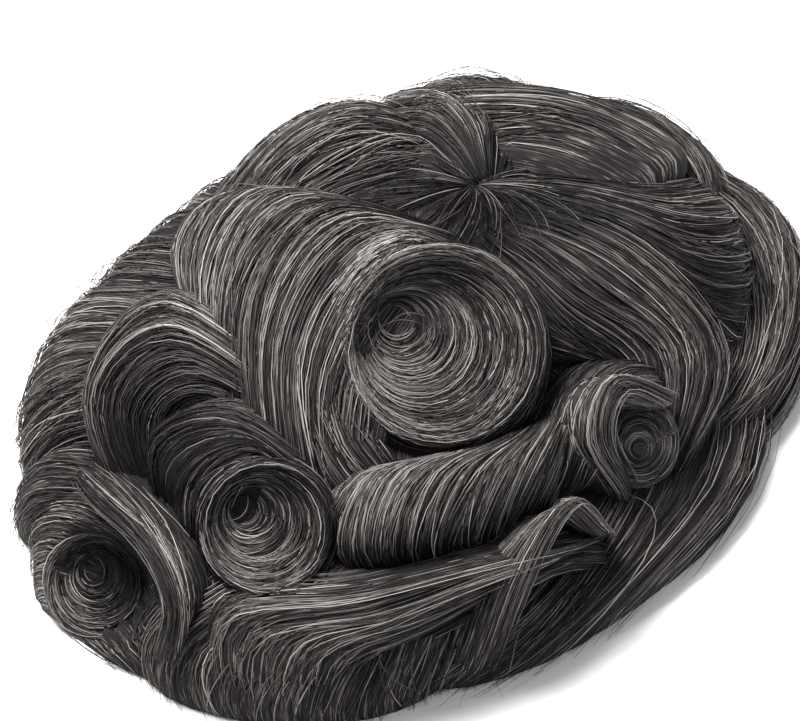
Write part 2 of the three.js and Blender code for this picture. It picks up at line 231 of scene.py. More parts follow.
# Presses what would stand over a curl's bowl or wall down along its axis, until it lies under
# them. q is the bowl's own share, where the middle slides to the eye, solved from the place. Past
# the lip the curl's own lock opens as a cone, and another lock stays under the wall. On the side
# where the roll joins the curl, its hair is first lifted to a saddle that falls off from the lip.
def pressed(points, curl, margin, own):
    middle, axis, level, up = curlFrame(curl)
    size, eye = curl["radius"], np.array(curl["eye"], float)
    away = points - middle
    height = away @ axis
    flat = np.stack([away @ level, away @ up], -1) / size
    radius = np.linalg.norm(flat, axis=-1)
    toEye = flat - eye
    along = toEye @ eye
    rest = lipAt**2 - eye @ eye
    q = (along + np.sqrt(along**2 + rest * (toEye**2).sum(-1))) / rest
    past = np.maximum(radius - lipAt, 0)
    droop = curlDroop(curl, flat[..., 0] * size, flat[..., 1] * size)
    if own:
        outside, reach = size * (0.02 + 2.3 * past), 1.2
        turn = np.arctan2(flat[..., 1], flat[..., 0]) - math.radians(joinsAt)
        near = np.clip(1.6 * np.cos(turn) + 0.3, 0, 1) * np.clip((1.45 - radius) / 0.2, 0, 1)
        saddle = -size * (0.01 + 0.85 * past) - droop + 1.25 * margin - 1.28
        lifted = near * (radius > 0.8) * np.clip(saddle - height, 0, 0.4 * size)
    else:
        wall = np.interp(radius, [lipAt, 0.95, 1.0, 1.03, 1.05], [0, -0.04, -0.14, -0.3, -0.5])
        outside, reach = size * wall, 1.04
        lifted = np.zeros_like(height)
    height = height + lifted
    bowl = bowlHeight(curl, lipAt * size * q)
    ceiling = np.where(q < 1, bowl, outside) - margin - droop
    over = (radius < reach) & (height > ceiling) & (height < 2 * size)
    return points + (lifted + np.where(over, ceiling - height, 0))[..., None] * axis


# Presses a lock under every curl that lies over it, and under its own curl's bowl.
def underCurls(points, lock, margin):
    for curl in lock["under"]:
        points = pressed(points, curl, margin + 0.6, False)
    if "curl" in lock:
        points = pressed(points, lock["curl"], margin, True)
    return keptOverCap(points, hair["coat"] - 3)


# Moves what lies deeper than a depth over the cap straight out to that depth.
def keptOverCap(points, depth):
    return capMiddle + (points - capMiddle) / np.clip(shareOut(points, depth), 0.2, 1)


# Gives every strand of a piece its own narrow cell over the beds' part of the bake's map.
def layStrands(chunks):
    total = sum(c.get("strands", 0) for c in chunks)
    columns = int(math.ceil(math.sqrt(total * 3.5)))
    rows = int(math.ceil(total / columns))
    cellSize = np.array([1 / columns, 0.71 / rows])
    start = 0
    for c in chunks:
        if "strands" in c:
            for key, which in (("quadMap", "strandOfQuad"), ("triMap", "strandOfTri")):
                cell = start + c[which]
                corner = np.stack([cell % columns, cell // columns], -1) * cellSize + [0, 0.28]
                c[key] = corner[:, None] + c[key] * cellSize
            start += c["strands"]


# How far a curl's mouth droops at a place in its frame: nothing in the middle and on the far side,
# and most at the lip on the side it opens to.
def curlDroop(curl, x, y):
    size = curl["radius"]
    toward = 0.5 + 0.5 * np.cos(np.arctan2(y, x) - math.radians(curl["opens"]))
    return curl["droop"] * size * toward * np.minimum((x * x + y * y) / size**2, 1.4)


# How far a lock's strands are carried across it, or how much they are painted lighter or darker as
# light and shade, at a share of their way: a curve through its values at the root, in the middle
# and at the tip.
def alongLock(values, share):
    root, middle, tip = values
    s = np.clip(share, -0.2, 1.1)
    return root * (1 - s) * (1 - 2 * s) + 4 * middle * s * (1 - s) + tip * s * (2 * s - 1)


# Painted shade for a place's height over the cap: painted dark down in the coat, where hair lies
# in shade, and none on the crests. The painted spots darken or lighten what lies round them as a
# bell does.
def paintedCrestShade(points):
    meanSize, foot, rise = 66, 2, 24
    height = (shareOut(points, 0)[..., 0] - 1) * meanSize
    s = np.clip((height - foot) / rise, 0, 1)
    darker = hair["valley"] * (1 - s * s * (3 - 2 * s))
    for across, along, lift, reach, amount in paintedSpots:
        middle = onCap(across / 100, along / 100, lift / 100 * hair["lift"])
        darker = darker + amount * np.exp(-((points - middle) ** 2).sum(-1) / reach**2)
    return darker


# The tone of a bed: its lock's, darkened as painted shade under the strands, and painted darker
# down in the coat as the strands are.
def bedTones(lock, points, shade):
    return np.clip(lock["tone"] + hair["bedTone"] + shade - paintedCrestShade(points), 0, 1)


# Faces of a grid of points, closed round its second way if asked.
def gridFaces(rows, columns, closed=False):
    across = np.arange(columns if closed else columns - 1)
    i, j = np.meshgrid(np.arange(rows - 1) * columns, across, indexing="ij")
    k = (j + 1) % columns
    return np.stack([i + j, i + k, i + columns + k, i + columns + j], -1).reshape(-1, 4)


# Six times the volume inside a set of faces, for telling which way they look.
def signedVolume(points, faces):
    corners = points[faces]
    volume = 0.0
    for k in range(1, faces.shape[1] - 1):
        volume += np.einsum("ij,ij->", corners[:, 0], np.cross(corners[:, k], corners[:, k + 1]))
    return volume


# A chunk of mesh: its points, four-sided and three-sided faces, and what the material reads.
def chunk(points, quads, tris, tone, streak, comb, quadMap, triMap):
    if signedVolume(points, quads) + signedVolume(points, tris) < 0:
        quads, quadMap = quads[:, ::-1], quadMap[:, ::-1]
        tris, triMap = tris[:, ::-1], triMap[:, ::-1]
    return {"points": points, "quads": quads, "tris": tris, "tone": tone,
            "streak": np.full(len(points), streak), "comb": comb.reshape(-1, 3),
            "quadMap": quadMap, "triMap": triMap}


# A chunk from rings of points with a pole at each end, which close it. The comb reads across and
# down, and level and ends place it in its strip of the bake's map.
def poledChunk(points, sides, across, down, level, ends, tone):
    count = len(points) // sides
    j = np.arange(sides)
    k = (j + 1) % sides
    last, pole = (count - 1) * sides, np.full(sides, count * sides)
    tris = np.concatenate([
        np.stack([k, j, pole], -1), np.stack([last + j, last + k, pole + 1], -1)])
    quads = gridFaces(count, sides, closed=True)
    comb = np.zeros((len(points), 3))
    comb[:-2] = np.stack(np.broadcast_arrays(across, down, 0 * j), -1).reshape(-1, 3)
    flat = np.stack(np.broadcast_arrays(0.01 + 0.98 * j / sides, level), -1).reshape(-1, 2)
    flat = np.concatenate([flat, [[0.5, ends[0]], [0.5, ends[1]]]])
    return chunk(points, quads, tris, tone, 1.0, comb, flat[quads], flat[tris])


# The bed of a lock: its surface a little under the strands, out to the foot of its skirt, closed
# by a floor in the coat. Each step down the lock is one ring, over the top from side to side and
# back along the floor.
def lockBed(lock, sides=26, steps=30):
    root, near, far = skirtsOf(lock)
    root *= 0.98
    side = 0.98 * (far - near) / 2 + 0.5 + (0.5 + 0.49 * (near + far)) * eased(sides)
    share = (1 + root + 0.98 * hair["skirt"]) * (0.5 + 0.5 * eased(steps))[:, None] - root
    top = underCurls(inLock(lock, side + 0 * share, share + 0 * side, -hair["tuck"]), lock, 0.7)
    floor = top - 2.5 * outOfCap(top)
    out = np.maximum(shareOut(floor, hair["coat"] - 3.2), 1)
    ring = np.concatenate([top, (capMiddle + (floor - capMiddle) / out)[:, ::-1]], 1)
    ring[..., 2] = np.maximum(ring[..., 2], 0.15)
    columns = ring.shape[1]
    i = np.arange(sides)
    end = np.stack([i, i + 1, columns - 2 - i, columns - 1 - i], -1)
    quads = gridFaces(steps + 1, columns, closed=True)
    quads = np.concatenate([quads, end[:, ::-1], end + steps * columns])
    down = lengthsAlong(top[:, sides // 2])[:, None] + 0 * side
    wide = lengthsAlong(top[steps // 2])
    wide = wide - alongLock(lock.get("sway", still), share) * wide.max()
    if lock.get("turned"):
        down, wide = wide, down
    comb = np.zeros(ring.shape)
    comb[..., 0] = np.concatenate([wide, wide[:, ::-1]], 1) + lock["seed"] * 37
    comb[..., 1] = np.concatenate([down, down[:, ::-1]], 1)
    strip = 0.48 * np.clip(np.concatenate([side, side[::-1]]), -0.02, 1.02)
    flat = np.stack(np.broadcast_arrays(
        0.02 + strip + np.repeat([0.0, 0.48], sides + 1),
        0.01 + 0.19 * (share + root) / (1.12 + root)), -1).reshape(-1, 2)
    points = ring.reshape(-1, 3)
    # The lock's shade values paint the bed lighter or darker along it, as painted light and shade.
    shade = np.repeat(alongLock(lock.get("shade", still), share), columns)
    tris = np.zeros((0, 3), int)
    tone = bedTones(lock, points, shade)
    return chunk(points, quads, tris, tone, 1.0, comb, flat[quads], flat[tris])


# A closed surface of revolution in a curl's frame: a profile of radius and height carried round.
def turnedBed(curl, lock, sides=44):
    size = curl["radius"]
    bowl = np.linspace(0, lipAt, 10) * size
    radius = np.concatenate([bowl, curlWall[:, 0] * size])
    height = np.concatenate([bowlHeight(curl, bowl), curlWall[:, 1] * size]) - hair["tuck"]
    angle = np.arange(sides) * 2 * math.pi / sides
    rings = inCurl(curl, angle, radius[1:-1, None], height[1:-1, None])
    poles = inCurl(curl, np.zeros(2), radius[[0, -1]], height[[0, -1]])
    points = keptOverCap(np.concatenate([rings.reshape(-1, 3), poles]), hair["coat"] - 3)
    points[:, 2] = np.maximum(points[:, 2], 0.15)
    run = np.cumsum(np.hypot(np.diff(radius), np.diff(height)))[:-1, None]
    level = 0.22 + 0.05 * np.linspace(0, 1, len(rings))[:, None]
    # The bowl's bed is painted 0.1 lighter, and lighter still by the curl's light, as painted light
    # in the open bowl.
    tone = bedTones(lock, points, 0.1 + curl.get("light", 0.0))
    return poledChunk(points, sides, run + lock["seed"] * 37 + 500, angle * radius[1:-1, None],
                      level, (0.221, 0.271), tone)


# Strands as closed three-sided tubes. Each has a middle line, a width that swells and runs out
# to a tip, and two low corners and a high one, so that it lies like a flattened hair. Its bake
# cell is laid out later, so its map is a place in that cell, and the strand's number.
def strandTubes(paths, outward, width, tone, roll):
    count, steps = paths.shape[:2]
    along = unit(np.gradient(paths, axis=1))
    beside = unit(np.cross(along, outward))
    above = np.cross(beside, along)
    c, s = np.cos(roll)[:, None, None], np.sin(roll)[:, None, None]
    beside, above = c * beside + s * above, c * above - s * beside
    t = np.linspace(0, 1, steps)
    taper = 0.25 + 0.75 * np.minimum(1, np.minimum(t * 6, 0.1 + (1 - t) * 4.5))
    half = (width[:, None] / 2 * taper)[..., None]
    low, high = 0.35 * half * above, 0.95 * half * above
    rings = np.stack([paths - half * beside - low, paths + high, paths + half * beside - low], 2)
    first = np.arange(count)[:, None, None] * steps * 3
    last = steps * 3 - 3
    quads = (first + gridFaces(steps, 3, closed=True)).reshape(-1, 4)
    tris = (first + np.array([[0, 2, 1], [last, last + 1, last + 2]])).reshape(-1, 3)
    u = np.array([0.08, 0.36, 0.64, 0.92])
    v = 0.04 + 0.92 * t
    j, k = np.meshgrid(np.arange(steps - 1), np.arange(3), indexing="ij")
    quadU, quadV = np.stack([k, k + 1, k + 1, k], -1), np.stack([j, j, j + 1, j + 1], -1)
    quadMap = np.stack([u[quadU], v[quadV]], -1).reshape(-1, 4, 2)
    triMap = np.stack([u[[[0, 2, 1], [0, 1, 2]]], v[[[0] * 3, [-1] * 3]]], -1)
    comb = np.zeros((count, steps, 3, 3))
    comb[..., 0] = (np.arange(count) * 1.7)[:, None, None]
    comb[..., 1] = lengthsAlong(paths)[..., None]
    # Painted shade: strands are painted darker down in the coat and round the painted spots.
    tone = np.clip(tone - paintedCrestShade(paths), 0.02, 1)
    points = rings.reshape(-1, 3)
    points[:, 2] = np.maximum(points[:, 2], 0.05)
    made = chunk(points, quads, tris, np.repeat(tone.ravel(), 3), 0.25, comb,
                 np.tile(quadMap, (count, 1, 1)), np.tile(triMap, (count, 1, 1)))
    made["strandOfQuad"] = np.repeat(np.arange(count), (steps - 1) * 3)
    made["strandOfTri"] = np.repeat(np.arange(count), 2)
    made["strands"] = count
    return made


# Cuts each strand to the stretch of it that is above the floor, by sliding its shares.
def aboveFloor(place, share, gap=0.35):
    z = place(share)[..., 2]
    clear = z > gap
    last = share.shape[1] - 1
    first = np.argmax(clear, 1)
    end = last - np.argmax(clear[:, ::-1], 1)
    rows = np.arange(len(share))

    def crossing(outer, inner):
        step = z[rows, inner] - z[rows, outer]
        steep = np.abs(step) > 1e-6
        part = np.where(steep, (gap - z[rows, outer]) / np.where(steep, step, 1), 0)
        return share[rows, outer] + np.clip(part, 0, 1) * (share[rows, inner] - share[rows, outer])

    low = np.where(first > 0, crossing(np.maximum(first - 1, 0), first), share[:, 0])
    high = np.where(end < last, crossing(np.minimum(end + 1, last), end), share[:, -1])
    kept = clear.sum(1) >= 3
    return low[:, None] + (high - low)[:, None] * np.linspace(0, 1, last + 1), kept, end < last


# Tones of strands: each clump has its own, dark hair carries it, and a share is silver.
def strandTones(rng, count, lock, clumpTone=0.0):
    one = (count, 1)
    silver = rng.random(one) < lock.get("silver", 0.3)
    tone = lock["tone"] + clumpTone + rng.normal(0, 0.14, one)
    return np.clip(tone + np.where(silver, rng.uniform(0.12, 0.42, one), 0), 0.02, 1)


# Strands along paths, with a width and a roll drawn for each, and only those kept.
def drawnStrands(rng, paths, out, tone, thin, thick, kept=slice(None), finer=1.0):
    width = hair["width"] * rng.uniform(thin, thick, len(paths)) * finer
    roll = rng.normal(0, 0.35, len(paths))
    return strandTubes(paths[kept], out[kept], width[kept], tone[kept], roll[kept])


# The strands of a lock, combed in clumps. Each clump keeps its place across the lock and wanders
# in a slow wave, its strands lie in a rounded bundle about it that closes towards the tip, and a
# few strands fly above the rest. The lock's sway carries them all across it, and a turned lock is
# combed from its first guide to its last.
def combedStrands(lock):
    rng = np.random.default_rng(lock["seed"])
    count, clumps = int(lock["hairs"] * hair["density"]), lock["clumps"]
    even = np.linspace(0, 1, lock.get("steps", 13))
    one = (count, 1)
    sway, shade = lock.get("sway", still), lock.get("shade", still)
    root, near, far = 0.9 * skirtsOf(lock)[0], *(0.92 * s for s in skirtsOf(lock)[1:])
    low = -0.06 - max(*sway, 0)
    wide = 1.06 + max(far - 0.12, 0) - min(*sway, 0) - low
    middle = low + (np.arange(clumps) + 0.5 + rng.uniform(-0.45, 0.45, clumps)) / clumps * wide
    which = rng.integers(0, clumps, one)
    wave = rng.normal(0, lock.get("wander", 0.5), clumps)[which]
    phase = rng.uniform(0, 1, clumps)[which]
    pace = rng.uniform(0.5, 1.1, clumps)[which]
    stand = rng.normal(0, lock.get("relief", 0.55), clumps)[which]
    off = np.clip(rng.normal(0, 0.85, one), -2, 2)
    deep = 2.6 * rng.random(one) ** 1.8
    flying = rng.random(one) < lock.get("fly", 0.07)
    flight = np.where(flying, rng.uniform(0.5, lock.get("flight", 3.0), one), 0)
    drift = rng.normal(0, 0.5, one) + np.where(flying, rng.normal(0, 0.07 * clumps, one), 0)
    turnAt = rng.uniform(0, 1, one)
    begin = -rng.uniform(0.0, max(root, lock.get("lead", 0)), one)
    begin = np.where(rng.random(one) < 0.28, rng.uniform(-root, 0.5, one), begin)
    short = np.minimum(np.abs(rng.normal(0, lock.get("ragged", 0.08), one)), 0.55)
    length = 1 + lock.get("tail", 0.5) * hair["skirt"] - short - begin
    fade = rng.uniform(0.3, 1, one)
    held = np.clip(0.2 + 2.5 * np.minimum(middle, 1 - middle), 0.1, 1)[which]

    def place(t):
        share = begin + length * t
        swing = wave * np.sin(2 * math.pi * (pace * share + phase))
        bundle = off * (1 - lock.get("pinch", 0.4) * np.clip(share, 0, 1) ** 2)
        own = 0.5 * drift * np.sin(math.pi * (1.3 * share + turnAt))
        side = middle[which] + (swing + bundle + own) * wide / clumps
        side = side + alongLock(sway, share) * held
        over = np.maximum(side - 1 - far * fade, 0) + np.minimum(side + near * fade, 0)
        rise = stand + 0.7 * (1 - off**2 / 1.4) - deep
        rise = rise + flight * np.sin(math.pi * np.clip(t, 0, 1)) ** 0.8
        rise = rise - 1.8 * np.clip(1 - t * 6, 0, 1) ** 2 * (begin > 0.02)
        rise = rise - 1.5 * np.minimum(np.abs(over) * 20, 1)
        rise = np.maximum(rise, -0.6 - 2.4 * np.clip(share * 4, 0, 1))
        way = (share, side - over) if lock.get("turned") else (side - over, share)
        return inLock(lock, *way, rise)

    t, kept, landed = aboveFloor(place, np.broadcast_to(even, (count, len(even))))
    paths = place(t)
    out = outOfCap(paths)
    loose = rng.random(one) < 0.12
    wisp = np.where(loose, rng.uniform(0.5, 3.5, one), rng.uniform(-2.4, 0.0, one))
    splay = landed[:, None] * wisp * even**4
    paths = underCurls(paths + splay[..., None] * unit(out * [1, 1, 0]), lock, 1.5)
    paths[..., 2] = np.maximum(paths[..., 2], 0.25)
    clumpTones = rng.normal(0, lock.get("clumpTone", 0.07), clumps)
    # The lock's shade values paint the strands lighter or darker along the lock, as painted light
    # and shade.
    tone = strandTones(rng, count, lock, clumpTones[which]) + alongLock(shade, begin + length * t)
    finer = np.where(flying, 0.65, 1)[:, 0]
    return drawnStrands(rng, paths, out, tone, 0.65, 1.15, kept, finer)


# The strands of a curl's bowl: arcs round the eye on the bowl, each drawing in as it turns, and
# near the eye a few short ones that cross it.
def bowlStrands(lock):
    curl, size = lock["curl"], lock["curl"]["radius"]
    rng = np.random.default_rng(lock["seed"] + 500)
    count = int(curl["bowlHairs"] * hair["density"])
    one = (count, 1)
    t = np.linspace(0, 1, curl["steps"])
    share = np.sqrt(rng.uniform(curl.get("inmost", 0.03), 1.1, one))
    stray = rng.random(one) < curl.get("stray", 0.1) + 0.5 * (share < 0.35)
    start = np.where(stray, rng.uniform(0, 360, one), rng.uniform(*curl["from"], one))
    sweep = rng.uniform(*curl["sweep"], one) * np.clip(0.55 + 0.6 * share, 0, 1)
    angle = np.radians(start + sweep * t)
    draw = rng.normal(0.05, 0.14, one)
    drawn = np.clip(share * (1 - draw * (t - 0.4)), 0.03, 1.08) * lipAt * size
    bundle = 0.35 * np.sin(drawn * 1.6 + rng.normal(0, 0.5, one)) - 1.2 * rng.random(one) ** 2
    fly = np.where(rng.random(one) < 0.1, rng.uniform(0.5, 3.5, one), 0) * np.sin(math.pi * t)
    paths = inCurl(curl, angle, drawn, bowlHeight(curl, drawn) + 0.2 + bundle + fly)
    few = (count // 140, 1)
    turn = rng.uniform(0.2, 1.4, few)
    spot = (rng.normal(0, 0.16, (few[0], 2)) + 0.75 * np.array(curl["eye"])) * size
    run = (t - 0.5) * rng.uniform(0.3, 0.6, few) * size
    bent = 0.5 * run * (t - 0.5) * rng.normal(0, 2, few)
    middle, axis, level, up = curlFrame(curl)
    x = spot[:, :1] + run * np.cos(turn) - bent * np.sin(turn)
    y = spot[:, 1:] + run * np.sin(turn) + bent * np.cos(turn)
    over = middle + x[..., None] * level + y[..., None] * up + 6 * axis
    paths = np.concatenate([paths, pressed(over, curl, -rng.uniform(0.2, 1.5, few), True)])
    paths[..., 2] = np.maximum(paths[..., 2], 0.3)
    # Painted light and shade round the bowl: strands are painted lighter toward 240 degrees and
    # darker on the far side, and lighter by the curl's light.
    lit = np.concatenate([np.cos(angle - math.radians(240)), 0 * run])
    tone = strandTones(rng, len(paths), lock) + curl.get("light", 0.0) + 0.04 + 0.18 * lit
    return drawnStrands(rng, paths, np.broadcast_to(axis, paths.shape), tone, 0.65, 1.1)


# The strands round a curl's rim, in families of arcs, each with its share of them, where it starts
# and how far it turns in degrees, and its way over the lip from the inside, 0, to the outside, 1.
def rimStrands(lock):
    curl, size = lock["curl"], lock["curl"]["radius"]
    rng = np.random.default_rng(lock["seed"] + 900)
    count = int(curl["rimHairs"] * hair["density"])
    one = (count, 1)
    t = np.linspace(0, 1, curl["steps"])
    over = np.array([(0.72, -0.42 * curl["bowl"] / size), *curlLip])
    families = np.array(curl["rims"], float)
    shares = families[:, 0] / families[:, 0].sum()
    family = families[rng.choice(len(families), count, p=shares)]
    low, high = family[:, 1::2].T, family[:, 2::2].T
    start, sweep, q = (low + rng.random((3, count)) * (high - low))[..., None]
    q = q + rng.normal(0, 0.16, one) * (t - 0.5)
    q = q + rng.normal(0, 0.05, one) * np.sin(2 * math.pi * (t + rng.random(one)))
    q = np.clip(q, 0, 1)
    lip = np.einsum("...i,ik->...k", splineShares(len(over), q), over) * size
    loose = rng.normal(0, 0.5, one) - 1.0 * rng.random(one) ** 2
    fly = np.where(rng.random(one) < 0.1, rng.uniform(0.5, 2.5, one), 0)
    loose = loose + fly * np.sin(math.pi * t) - 2.2 * np.clip(1 - t * 7, 0, 1) ** 2
    angle = np.radians(start + sweep * t)
    paths = inCurl(curl, angle, lip[..., 0] + 0.5 * loose, lip[..., 1] + loose)
    middle, axis = curlFrame(curl)[:2]
    away = paths - middle
    out = unit(away - (away @ axis)[..., None] * axis) * np.clip(q * 1.6, 0, 1)[..., None] + axis
    kept = paths[..., 2].min(1) > 0.4
    # Painted shade: the rim's arcs are painted darker by rimShade in the middle of their turn.
    tone = strandTones(rng, count, lock) + curl.get("rimShade", -0.1) * np.sin(math.pi * t)
    return drawnStrands(rng, paths, out, tone, 0.65, 1.1, kept)


# One mesh from chunks, with the bake's map and what the material reads, in metres.
def hairMesh(name, chunks):
    layStrands(chunks)
    joined = {key: np.concatenate([c[key] for c in chunks])
              for key in ("points", "tone", "streak", "comb", "quadMap", "triMap")}
    sizes = np.cumsum([0] + [len(c["points"]) for c in chunks])
    quads = np.concatenate([c["quads"] + at for c, at in zip(chunks, sizes)])
    tris = np.concatenate([c["tris"] + at for c, at in zip(chunks, sizes)])
    mesh = bpy.data.meshes.new(name)
    mesh.vertices.add(len(joined["points"]))
    mesh.vertices.foreach_set("co", (joined["points"] / 1000).astype(np.float32).ravel())
    corners = np.concatenate([quads.ravel(), tris.ravel()])
    mesh.loops.add(len(corners))
    mesh.loops.foreach_set("vertex_index", corners.astype(np.int32))
    starts = np.concatenate([np.arange(len(quads)) * 4, quads.size + np.arange(len(tris)) * 3])
    mesh.polygons.add(len(starts))
    mesh.polygons.foreach_set("loop_start", starts.astype(np.int32))
    mesh.polygons.foreach_set("use_smooth", np.ones(len(starts), bool))
    mesh.update(calc_edges=True)
    places = np.concatenate([joined["quadMap"].reshape(-1, 2), joined["triMap"].reshape(-1, 2)])
    bakeMap = mesh.uv_layers.new(name="OFBake")
    bakeMap.uv.foreach_set("vector", places.astype(np.float32).ravel())
    for key, kind, field in (("tone", "FLOAT", "value"), ("streak", "FLOAT", "value"),
                             ("comb", "FLOAT_VECTOR", "vector")):
        data = mesh.attributes.new(key, kind, "POINT").data
        data.foreach_set(field, joined[key].astype(np.float32).ravel())
    mesh.validate()
    piece = bpy.data.objects.new(name, mesh)
    bpy.context.scene.collection.objects.link(piece)
    return piece


def finishPiece(piece, node, material):
    piece.data.materials.append(material)
    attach(piece, "root")
    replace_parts(piece, node)
    faces = sum(len(p.vertices) - 2 for p in piece.data.polygons)
    print(piece.name, faces, "triangles")
    return piece


# Shader maths: a socket with the operators that the materials use.
class Wire:
    def __init__(self, tree, socket):
        self.tree, self.socket = tree, socket

    def node(self, kind, settings=None, **inputs):
        made = self.tree.nodes.new(kind)
        for key, value in (settings or {}).items():
            setattr(made, key, value)
        for key, value in inputs.items():
            numbered = key[0] == "i" and key[1:].isdigit()
            target = made.inputs[int(key[1:]) if numbered else key.replace("_", " ")]
            if isinstance(value, Wire):
                self.tree.links.new(value.socket, target)
            else:
                target.default_value = value
        return made

    def out(self, kind, socket, settings=None, **inputs):
        return Wire(self.tree, self.node(kind, settings, **inputs).outputs[socket])

    def math(self, operation, *values):
        inputs = {"i%d" % k: v for k, v in enumerate(values)}
        return self.out("ShaderNodeMath", 0, {"operation": operation}, **inputs)

    def __add__(self, other): return self.math("ADD", self, other)
    def __radd__(self, other): return self.math("ADD", other, self)
    def __sub__(self, other): return self.math("SUBTRACT", self, other)
    def __rsub__(self, other): return self.math("SUBTRACT", other, self)
    def __mul__(self, other): return self.math("MULTIPLY", self, other)
    def __rmul__(self, other): return self.math("MULTIPLY", other, self)
    def __truediv__(self, other): return self.math("DIVIDE", self, other)
    def __pow__(self, other): return self.math("POWER", self, other)
    def clamped(self): return self.math("MAXIMUM", self.math("MINIMUM", self, 1.0), 0.0)


# Hair: a tone ramp from black to silver, with fine streaks combed along each lock and slow dark
# and light places. tone is the strand's own tone with the painted light and shade added to it, and
# comb runs across and along the lock in mm.
def hairMaterial(name, looks):
    material = bpy.data.materials.new(name)
    material.use_nodes = True
    tree = material.node_tree
    shader = tree.nodes["Principled BSDF"]
    start = Wire(tree, None)
    tone, streak, comb = (
        start.out("ShaderNodeAttribute", out, {"attribute_name": name})
        for name, out in (("tone", "Fac"), ("streak", "Fac"), ("comb", "Vector")))
    place = start.out("ShaderNodeTexCoord", "Object")
    stretched = start.out("ShaderNodeVectorMath", 0, {"operation": "MULTIPLY"},
                          i0=comb, i1=(2.2, 0.07, 1.0))
    fine = start.out("ShaderNodeTexNoise", "Fac",
                     Vector=stretched, Scale=1.0, Detail=3.0, Roughness=0.6)
    slow = start.out("ShaderNodeTexNoise", "Fac",
                     Vector=place, Scale=42.0, Detail=2.0, Roughness=0.5)
    shade = tone + (fine - 0.5) * streak * 3.2 + (slow - 0.5) * 0.2
    ramp = start.node("ShaderNodeValToRGB", Fac=shade.clamped())
    points = ramp.color_ramp.elements
    points[0].position, points[0].color = 0.0, (*looks["deep"], 1)
    points[1].position, points[1].color = 1.0, (*looks["silver"], 1)
    for share, key in ((0.42, "dark"), (0.68, "grey")):
        points.new(share).color = (*looks[key], 1)
    tree.links.new(ramp.outputs["Color"], shader.inputs["Base Color"])
    tree.links.new((0.36 + fine * 0.2 + streak * 0.3).socket, shader.inputs["Roughness"])
    bump = start.node("ShaderNodeBump", Strength=0.6, Distance=0.0005, Height=fine * streak)
    tree.links.new(bump.outputs["Normal"], shader.inputs["Normal"])
    shader.inputs["Specular IOR Level"].default_value = 0.18
    return material


hairLooks = {
    "deep": (0.0036, 0.0030, 0.0030),
    "dark": (0.0150, 0.0130, 0.0128),
    "grey": (0.103, 0.094, 0.092),
    "silver": (0.38, 0.36, 0.352),
}
hairMade = hairMaterial("hairpieceHair", hairLooks)


# A lock's mesh: its bed and strands, those of the locks that go with it, and its curl.
def buildLock(lock):
    chunks = [lockBed(lock), combedStrands(lock)]
    for other in lock.get("with", []):
        other["under"] = lock["under"]
        chunks += [lockBed(other), combedStrands(other)]
    if "curl" in lock:
        chunks += [turnedBed(lock["curl"], lock), bowlStrands(lock), rimStrands(lock)]
    finishPiece(hairMesh(lock["node"] + "_hair", chunks), lock["node"], hairMade)


# Loose, frizzy strands, and the rims of the two big rolls.
frizz = {"fly": 0.12, "flight": 5.0}
rolledRim = [
    (5, 115, 165, -230, -90, 0.25, 0.9), (2, 190, 245, 50, 130, 0.5, 1.0),
    (2, -110, 30, 60, 150, 0.0, 0.4)]

pompadourCurl = {
    "node": "pompadour_curl", "hairs": 1100, "steps": 15, "clumps": 46, "tone": 0.48,
    "shade": (-0.02, 0.04, -0.08), "farSkirt": 0.35, "seed": 11,
    "guides": [
        [(-60, 4, 26), (-66, -4, 50), (-64, -14, 50), (-57, -21, 26)],
        [(-48, 8, 32), (-54, -3, 78), (-50, -16, 80), (-40, -28, 36)],
        [(-30, 11, 34), (-34, -4, 88), (-28, -22, 86), (-14, -38, 38)],
        [(-10, 12, 36), (-16, -4, 94), (-10, -25, 88), (10, -47, 40)],
        [(10, 12, 38), (-2, -2, 96), (5, -26, 88), (29, -46, 42)],
    ],
    "curl": {
        "mouth": (20, -10, 70), "facing": -46, "tilt": 56, "radius": 31, "bowl": 10.5,
        "eye": (-0.52, 0.42), "droop": 0.2, "opens": -50, "bowlHairs": 580, "rimHairs": 260,
        "steps": 13, "from": (172, 215), "sweep": (110, 250), "light": 0.05,
        "rims": rolledRim,
    },
}
frontCurl = {
    "node": "front_curl", "hairs": 380, "steps": 14, "clumps": 22, "tone": 0.46,
    "shade": (-0.26, -0.08, 0.0), "farSkirt": 0.35, "seed": 12,
    "guides": [
        [(-16, -68, 24), (-24, -52, 40), (-10, -37, 50), (10, -36, 34)],
        [(-8, -68, 34), (-14, -53, 72), (-1, -41, 84), (17, -40, 48)],
        [(6, -70, 36), (4, -56, 86), (9, -44, 90), (26, -46, 48)],
    ],
    "curl": {
        "mouth": (19, -54, 68), "facing": -55, "tilt": 50, "radius": 21, "bowl": 8,
        "eye": (-0.46, 0.32), "droop": 0.22, "opens": -50, "bowlHairs": 340, "rimHairs": 120,
        "steps": 13, "from": (150, 235), "sweep": (90, 230), "light": 0.12,
        "rims": rolledRim,
    },
}
